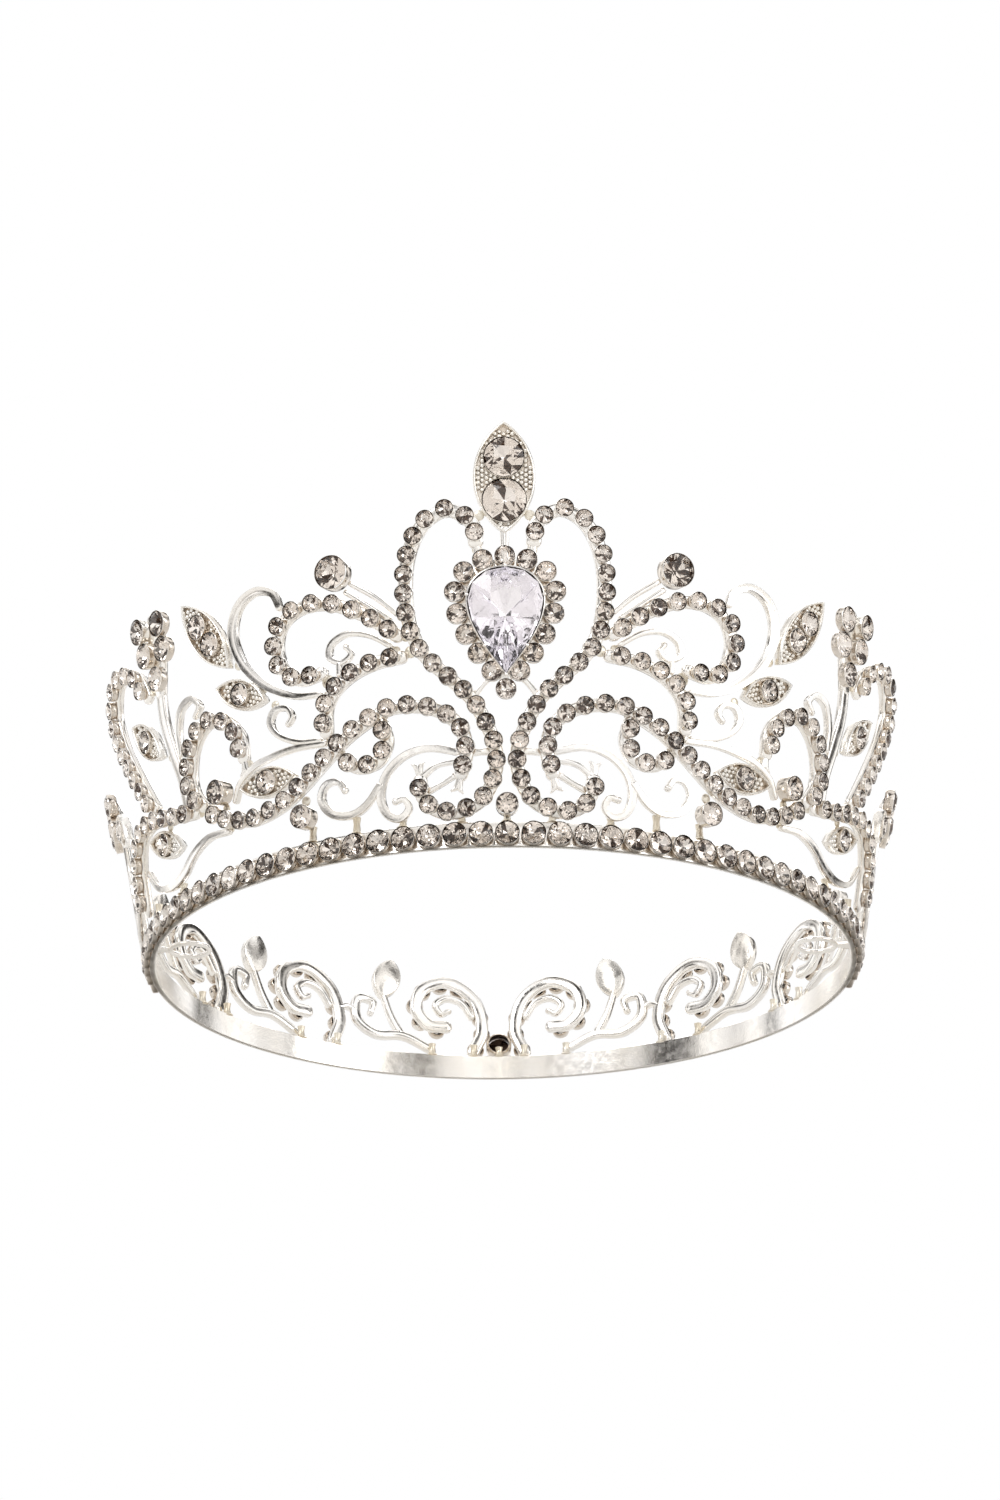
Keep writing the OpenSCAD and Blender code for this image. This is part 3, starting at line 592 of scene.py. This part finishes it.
def back_scrolls(shape, chance):
    for start in BACK_STARTS:
        strand(shape, shifted(BACK_STRAND, start))
        plain(shape, shifted(BACK_HOOK, start), (1.6, 2.2, 1.2), knob=0.8)
        plain(shape, shifted(BACK_STEM, start), (1.8, 1.5, 1.2))
        plain(shape, shifted(BACK_TENDRIL, start), (1.3, 1.5, 0.9), knob=0.7)
        plain(shape, shifted(BACK_TIE, start), (1.2, 1.2, 1.2))


def double_leaf(shape, chance):
    scroll_leaf(shape, DOUBLE_LEAF, chance)


def small_leaves(shape, chance):
    for spec in SMALL_LEAVES:
        scroll_leaf(shape, spec, chance)


def back_leaves(shape, chance):
    for start in BACK_STARTS:
        scroll_leaf(shape, back_leaf(start), chance)


def stud_cups(shape, chance):
    for u, v, d in SIDE_STUDS:
        round_cup(shape, d, seat(u, v, SCROLL_T / 2), foot=SCROLL_T)
    for u, v, d in PILLAR_STUDS + LOW_STUDS:
        round_cup(shape, d, seat(u, v, SCROLL_T / 2), foot=0.5)


def hook_scroll(shape, chance):
    plain(shape, HOOK, (1, 2.3, 1.3), dip=0.55)


def bowl_scroll(shape, chance):
    plain(shape, BOWL, (1.2, 1.8, 1.1))


GROUPS = {"hook_scroll": hook_scroll, "bowl_scroll": bowl_scroll, "lower_scroll": lower_scroll,
          "vine_curls": vine_curls, "pillar": pillar, "bobble_stem": bobble_stem,
          "low_pillar": low_pillar, "back_scrolls": back_scrolls, "double_leaf": double_leaf,
          "small_leaves": small_leaves, "back_leaves": back_leaves, "stud_cups": stud_cups}


def small_places():
    lines = list(STRANDS.values()) + [shifted(BACK_STRAND, start) for start in BACK_STARTS]
    return [p for knots in lines for p in stations(knots)]


def strand_cups(side):
    shape = Shape()
    for u, v in small_places():
        round_cup(shape, SMALL_STONE, seat(side * u, v, SCROLL_T / 2))
    return shape


def strand_stones(side, chance):
    shape = Shape()
    for u, v in small_places():
        round_stone(shape, SMALL_STONE, seat(side * u, v, SCROLL_T / 2), 1.15, chance)
    return shape


def large_stones(side, chance):
    shape = Shape()
    for u, v, d in SIDE_STUDS + PILLAR_STUDS + LOW_STUDS + [BOBBLE]:
        round_stone(shape, d, seat(side * u, v, SCROLL_T / 2), 2.6 if d > 6 else 1.6, chance)
    for spec in [DOUBLE_LEAF] + SMALL_LEAVES + [back_leaf(start) for start in BACK_STARTS]:
        a, b, width, d, count = spec
        mirrored = ((side * a[0], a[1]), (side * b[0], b[1]), width, d, count)
        place, _ = leaf_place(mirrored)
        for x, stone_d in leaf_stones(spec):
            round_stone(shape, stone_d, place @ Matrix.Translation((x, 0, CUP_ON_LEAF)), 1.45, chance)
    return shape


def halo(with_stones, chance):
    shape = Shape()
    for at in halo_places():
        place = PEAR_PLACE @ Matrix.Translation((at.x, at.y, 0))
        if with_stones:
            round_stone(shape, HALO_STONE, place, 1.15, chance)
        else:
            round_cup(shape, HALO_STONE, place)
    return shape


def band():
    """The plain ring, with softened edges and a fine raised rim along each."""
    inner, outer, lip = BAND_R - BAND_WALL, BAND_R, 0.08
    profile = [(inner + 0.15, 0), (outer - 0.1, 0), (outer + lip, 0.1), (outer + lip, 0.45), (outer, 0.6),
               (outer, BAND_H - 0.6), (outer + lip, BAND_H - 0.45), (outer + lip, BAND_H - 0.1),
               (outer - 0.1, BAND_H), (inner + 0.15, BAND_H), (inner, BAND_H - 0.12), (inner, 0.12)]
    shape = Shape()
    shape.add(*lathe(profile, 240, closed=True))
    return shape


def band_cups():
    shape = Shape()
    for i in range(-BAND_STONES_A_SIDE, BAND_STONES_A_SIDE + 1):
        round_cup(shape, BAND_STONE, band_seat(radians(i * BAND_STONE_STEP), BAND_STONE_Z))
    return shape


def band_stones(chance):
    shape = Shape()
    for i in range(-BAND_STONES_A_SIDE, BAND_STONES_A_SIDE + 1):
        round_stone(shape, BAND_STONE, band_seat(radians(i * BAND_STONE_STEP), BAND_STONE_Z), 1.15, chance)
    return shape


def solder():
    """Waisted posts on the band's edge, and flattened beads of solder behind the joints."""
    shape = Shape()
    back_posts = [(BACK_U - start - at, 7.4) for start in BACK_STARTS for at in (3.4, 12.4)]
    posts = [(side * u, top) for side in (-1, 1) for u, top in POSTS + back_posts] + [(0, 6.5), (BACK_U, 7)]
    for u, top in posts:
        height = top - BAND_H
        profile = [(1.25, -0.1), (1.05, 0.12), (0.75, 0.45), (0.62, height * 0.6), (0.8, height), (0.3, height + 0.2)]
        place = Matrix.Rotation(u / CONE_R, 4, "Z") @ Matrix.Translation((0, -BAND_R + 0.3 * BAND_WALL, BAND_H))
        shape.add(*lathe(profile, 16), 0, place)
    for side in (-1, 1):
        for u, v, r in PADS:
            ball(shape, r * 0.75, seat(side * u, v, -SCROLL_T / 2 + 0.2), 0, 0.3, 16)
    return shape


def pin_loop():
    """A bent wire ring lying level inside the band, with a small flattened lug."""
    shape = Shape()
    place = Matrix.Rotation(LOOP_TURN, 4, "Z") @ Matrix.Translation((0, -LOOP_CENTRE, LOOP_Z))
    wire = 0.5
    ring = [(LOOP_R + wire + wire * cos(2 * pi * i / 12), wire * sin(2 * pi * i / 12)) for i in range(12)]
    shape.add(*lathe(ring, 48, closed=True), 0, place)
    lug = []
    for share, half_w, half_t in ((0, 0.5, 0.4), (0.35, 0.7, 0.45), (0.8, 1.2, 0.6), (1, 1.3, 0.7)):
        y = -(LOOP_R + wire) - share * (LOOP_REACH - LOOP_R - wire)
        lug.append([(half_w * copysign(abs(cos(a)) ** 0.6, cos(a)), y, half_t * copysign(abs(sin(a)) ** 0.6, sin(a)))
                    for a in (2 * pi * i / 12 for i in range(12))])
    shape.add(*skin(lug), 0, place)
    return shape


def centre_studs():
    shape = Shape()
    for u, v, d in (CENTRE_STUD, BACK_STUD):
        round_cup(shape, d, seat(u, v, SCROLL_T / 2), foot=SCROLL_T)
    return shape


def centre_stones(chance):
    shape = Shape()
    for u, v, d in (CENTRE_STUD, BACK_STUD):
        round_stone(shape, d, seat(u, v, SCROLL_T / 2), 1.8, chance)
    return shape


FINIAL_PLACE = seat(0, FINIAL_V, -SCROLL_T / 2, pi / 2)


def finial_leaf(chance):
    shape = Shape()
    leaf(shape, *FINIAL, FINIAL_STONES, FINIAL_PLACE, chance)
    return shape


def finial_stones(chance):
    shape = Shape()
    for x, d in FINIAL_STONES:
        round_stone(shape, d, FINIAL_PLACE @ Matrix.Translation((x, 0, CUP_ON_LEAF)), 1.5, chance)
    return shape


# ---------- materials ----------


def material(name, **fixed):
    """A Principled material with the given sockets set, and helpers to vary its colour and roughness over the
    surface.
    """
    mat = bpy.data.materials.new(name)
    mat.use_nodes = True
    tree = mat.node_tree
    shader = tree.nodes["Principled BSDF"]
    for socket, value in fixed.items():
        shader.inputs[socket.replace("_", " ")].default_value = value
    place = tree.nodes.new("ShaderNodeTexCoord")

    def noise(scale, detail=2.0):
        node = tree.nodes.new("ShaderNodeTexNoise")
        node.inputs["Scale"].default_value = scale
        node.inputs["Detail"].default_value = detail
        tree.links.new(place.outputs["Object"], node.inputs["Vector"])
        return node.outputs["Fac"]

    def spread(source, low, high, from_low=0.3, from_high=0.7):
        node = tree.nodes.new("ShaderNodeMapRange")
        node.inputs["From Min"].default_value = from_low
        node.inputs["From Max"].default_value = from_high
        node.inputs["To Min"].default_value = low
        node.inputs["To Max"].default_value = high
        tree.links.new(source, node.inputs["Value"])
        return node.outputs["Result"]

    def blend(factor, a, b, mode="MIX"):
        node = tree.nodes.new("ShaderNodeMix")
        node.data_type = "RGBA"
        node.blend_type = mode
        for socket, value in ((node.inputs[0], factor), (node.inputs[6], a), (node.inputs[7], b)):
            if isinstance(value, bpy.types.NodeSocket):
                tree.links.new(value, socket)
            else:
                socket.default_value = value if isinstance(value, float) else (*value, 1.0)
        return node.outputs[2]

    return mat, tree, shader, noise, spread, blend


def metal(name, base, tint, roughness, bump, crevice_shade):
    mat, tree, shader, noise, spread, blend = material(name, Metallic=1.0)
    colour = blend(spread(noise(90.0), 0.0, 1.0), base, tint)
    # Painted shade: Pointiness darkens the colour towards the last colour given, in creases and hollows where shade
    # would fall.
    geometry = tree.nodes.new("ShaderNodeNewGeometry")
    hollow = spread(geometry.outputs["Pointiness"], 1.0, 0.0, 0.42, 0.495)
    colour = blend(hollow, colour, crevice_shade, "MULTIPLY")
    tree.links.new(colour, shader.inputs["Base Color"])
    tree.links.new(spread(noise(700.0, 4.0), roughness[0], roughness[1]), shader.inputs["Roughness"])
    relief = tree.nodes.new("ShaderNodeBump")
    relief.inputs["Strength"].default_value = bump
    relief.inputs["Distance"].default_value = 0.0001
    tree.links.new(noise(2600.0, 3.0), relief.inputs["Height"])
    tree.links.new(relief.outputs["Normal"], shader.inputs["Normal"])
    return mat


def clear(name, base, tint, smoke):
    mat, tree, shader, noise, spread, blend = material(
        name, Metallic=0.0, IOR=1.56, Transmission_Weight=1.0)
    colour = blend(spread(noise(260.0, 1.0), 0.0, 1.0, 0.4, 0.6), base, tint)
    colour = blend(spread(noise(40.0, 1.0), 0.0, 1.0), colour, smoke)
    tree.links.new(colour, shader.inputs["Base Color"])
    tree.links.new(spread(noise(900.0, 2.0), 0.0, 0.03), shader.inputs["Roughness"])
    return mat


def build_materials():
    # The last colour of each metal is painted shade, multiplied in where the surface is hollow.
    return {
        "plate": metal("bright_plate", (0.95, 0.94, 0.93), (0.93, 0.90, 0.85), (0.10, 0.24), 0.12,
                       (0.62, 0.55, 0.48)),
        "cast": metal("cast_plate", (0.93, 0.92, 0.90), (0.90, 0.86, 0.80), (0.18, 0.34), 0.25,
                      (0.72, 0.65, 0.58)),
        "solder": metal("plated_solder", (0.88, 0.85, 0.78), (0.80, 0.72, 0.58), (0.25, 0.45), 0.5,
                        (0.5, 0.42, 0.34)),
        # Painted shade and reflection: a dark brown metal painted inside the cups and on the dark stone facets.
        "painted_shade_and_reflection": metal("painted_shade_and_dark_reflection", (0.15, 0.10, 0.075), (0.07, 0.05, 0.04), (0.4, 0.6), 0.2, (0.4, 0.35, 0.3)),
        "foil": metal("stone_foil", (0.95, 0.93, 0.91), (0.90, 0.86, 0.82), (0.02, 0.06), 0.02,
                      (0.9, 0.88, 0.85)),
        "pear_foil": metal("pear_foil", (0.98, 0.97, 0.99), (0.93, 0.92, 0.96), (0.02, 0.05), 0.02,
                           (0.95, 0.94, 0.96)),
        "glass": clear("round_glass", (0.97, 0.955, 0.94), (0.90, 0.87, 0.84), (0.93, 0.90, 0.88)),
        "pear": clear("pear_glass", (0.98, 0.97, 0.98), (0.95, 0.94, 0.96), (0.96, 0.94, 0.95)),
    }


# ---------- pieces ----------


def make(node, shape, materials, sharp=None):
    """Turns a shape into an object that stands for its CAD node and rides on the body."""
    name = node + ".fine"
    mesh = bpy.data.meshes.new(name)
    mesh.from_pydata([tuple(p / 1000) for p in shape.points], [], shape.faces)
    mesh.polygons.foreach_set("material_index", shape.kinds)
    for mat in materials:
        mesh.materials.append(mat)
    work = bmesh.new()
    work.from_mesh(mesh)
    bmesh.ops.recalc_face_normals(work, faces=work.faces)
    work.to_mesh(mesh)
    work.free()
    if sharp is not None:
        mesh.polygons.foreach_set("use_smooth", [True] * len(mesh.polygons))
        mesh.set_sharp_from_angle(angle=radians(sharp))
    mesh.update()
    piece = bpy.data.objects.new(name, mesh)
    bpy.context.scene.collection.objects.link(piece)
    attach(piece, "root")
    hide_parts(node)
    return piece


def both_sides(name, shape, materials, sharp=None):
    make(name + "_right", shape, materials, sharp)
    make(name + "_left", shape.mirrored(), materials, sharp)


def build_tiara(mats):
    chance = random.Random(7)
    # The last material in each list is painted: shade inside the cups, and dark reflections on some stone facets.
    plate = [mats["plate"], mats["painted_shade_and_reflection"]]
    cast = [mats["cast"], mats["painted_shade_and_reflection"]]
    gems = [mats["glass"], mats["foil"], mats["painted_shade_and_reflection"]]
    for name, knots in STRANDS.items():
        shape = Shape()
        strand(shape, knots)
        for at_end in FISHTAILS.get(name, ()):
            fishtail(shape, knots, at_end)
        both_sides(name, shape, plate, 50)
    for name, group in GROUPS.items():
        shape = Shape()
        group(shape, chance)
        both_sides(name, shape, cast if "lea" in name else plate, 50)
    for side, word in ((1, "_right"), (-1, "_left")):
        make("strand_cups" + word, strand_cups(side), plate, 60)
        make("strand_stones" + word, strand_stones(side, chance), gems)
        make("large_stones" + word, large_stones(side, chance), gems)
    both_sides("pin_loop", pin_loop(), plate, 60)
    make("base_band", band(), plate, 50)
    make("band_cups", band_cups(), plate, 60)
    make("band_stones", band_stones(chance), gems)
    make("centre_studs", centre_studs(), plate, 60)
    make("centre_stones", centre_stones(chance), gems)
    make("finial_leaf", finial_leaf(chance), cast, 50)
    make("finial_stones", finial_stones(chance), gems)
    make("pear_setting", pear_setting(), plate, 50)
    make("pear_stone", pear_stone(chance), [mats["pear"], mats["pear_foil"], mats["painted_shade_and_reflection"]])
    make("halo_cups", halo(False, chance), plate, 60)
    make("halo_stones", halo(True, chance), gems)
    make("solder_posts", solder(), [mats["solder"]], 60)


# ---------- stage ----------


def build_floor():
    """A pale floor that is only there from above, so the low camera looks straight through it."""
    mesh = bpy.data.meshes.new("floor")
    half = 1.5
    mesh.from_pydata([(-half, -half, 0), (half, -half, 0), (half, half, 0), (-half, half, 0)], [], [(0, 1, 2, 3)])
    floor = bpy.data.objects.new("floor", mesh)
    floor.location.z = -0.0002
    bpy.context.scene.collection.objects.link(floor)
    mat = bpy.data.materials.new("pale_floor")
    mat.use_nodes = True
    tree = mat.node_tree
    shader = tree.nodes["Principled BSDF"]
    shader.inputs["Base Color"].default_value = (0.88, 0.87, 0.85, 1)
    shader.inputs["Roughness"].default_value = 0.7
    geometry = tree.nodes.new("ShaderNodeNewGeometry")
    see_through = tree.nodes.new("ShaderNodeBsdfTransparent")
    mix = tree.nodes.new("ShaderNodeMixShader")
    tree.links.new(geometry.outputs["Backfacing"], mix.inputs["Fac"])
    tree.links.new(shader.outputs["BSDF"], mix.inputs[1])
    tree.links.new(see_through.outputs["BSDF"], mix.inputs[2])
    tree.links.new(mix.outputs["Shader"], tree.nodes["Material Output"].inputs["Surface"])
    mesh.materials.append(mat)


ROOM_SHIFT = (0.0, 0.0, 0.0)


def build_world():
    """A white backdrop for the camera, and a patchy bright room for reflections."""
    world = bpy.data.worlds.new("studio")
    bpy.context.scene.world = world
    world.use_nodes = True
    tree = world.node_tree
    room = tree.nodes["Background"]
    place = tree.nodes.new("ShaderNodeTexCoord")
    turn = tree.nodes.new("ShaderNodeMapping")
    turn.inputs["Location"].default_value = ROOM_SHIFT
    tree.links.new(place.outputs["Generated"], turn.inputs["Vector"])
    patches = tree.nodes.new("ShaderNodeTexNoise")
    patches.inputs["Scale"].default_value = 3.2
    patches.inputs["Detail"].default_value = 1.0
    tree.links.new(turn.outputs["Vector"], patches.inputs["Vector"])
    ramp = tree.nodes.new("ShaderNodeValToRGB")
    ramp.color_ramp.elements[0].position = 0.40
    ramp.color_ramp.elements[0].color = (0.02, 0.018, 0.016, 1)
    ramp.color_ramp.elements[1].position = 0.54
    ramp.color_ramp.elements[1].color = (1.0, 0.985, 0.965, 1)
    grey = ramp.color_ramp.elements.new(0.45)
    grey.color = (0.50, 0.48, 0.46, 1)
    tree.links.new(patches.outputs["Fac"], ramp.inputs["Fac"])
    tree.links.new(ramp.outputs["Color"], room.inputs["Color"])
    room.inputs["Strength"].default_value = 1.25
    backdrop = tree.nodes.new("ShaderNodeBackground")
    backdrop.inputs["Color"].default_value = (1, 1, 1, 1)
    path = tree.nodes.new("ShaderNodeLightPath")
    mix = tree.nodes.new("ShaderNodeMixShader")
    tree.links.new(path.outputs["Is Camera Ray"], mix.inputs["Fac"])
    tree.links.new(room.outputs["Background"], mix.inputs[1])
    tree.links.new(backdrop.outputs["Background"], mix.inputs[2])
    tree.links.new(mix.outputs["Shader"], tree.nodes["World Output"].inputs["Surface"])


def add_light(name, place, target, size, power):
    light = bpy.data.lights.new(name, "AREA")
    light.shape = "DISK"
    light.size = size
    light.energy = power
    lamp = bpy.data.objects.new(name, light)
    lamp.location = place
    lamp.rotation_euler = (Vector(target) - Vector(place)).to_track_quat("-Z", "Y").to_euler()
    bpy.context.scene.collection.objects.link(lamp)


def build_lights():
    middle = (0, 0, 0.04)
    add_light("key", (-0.5, -0.8, 0.7), middle, 0.5, 2.5)
    add_light("fill", (0.8, -0.5, 0.3), middle, 0.6, 1.5)
    add_light("low", (0.2, -0.7, -0.4), middle, 0.5, 1.2)
    add_light("back", (0.1, 0.8, 0.7), middle, 0.5, 2)


def build_camera():
    """The photograph's viewpoint: low, almost straight in front and looking up."""
    data = bpy.data.cameras.new("camera")
    data.lens = 130.8
    data.sensor_width = 36
    data.clip_start = 0.01
    camera = bpy.data.objects.new("camera", data)
    target = Vector((-0.0001, 0, 0.047))
    elevation = radians(-21.56)
    azimuth = radians(-0.89)
    direction = Vector((sin(azimuth) * cos(elevation), -cos(azimuth) * cos(elevation), sin(elevation)))
    camera.location = target + direction * 1.1
    camera.rotation_euler = (-direction).to_track_quat("-Z", "Y").to_euler()
    camera.rotation_euler.rotate_axis("Z", radians(-0.7))
    bpy.context.scene.collection.objects.link(camera)
    bpy.context.scene.camera = camera


build_tiara(build_materials())
build_floor()
build_world()
build_lights()
build_camera()
bpy.context.scene.view_settings.view_transform = "Standard"
# Light bounces many times between the foil and the front of a faceted stone.
bpy.context.scene.cycles.glossy_bounces = 12
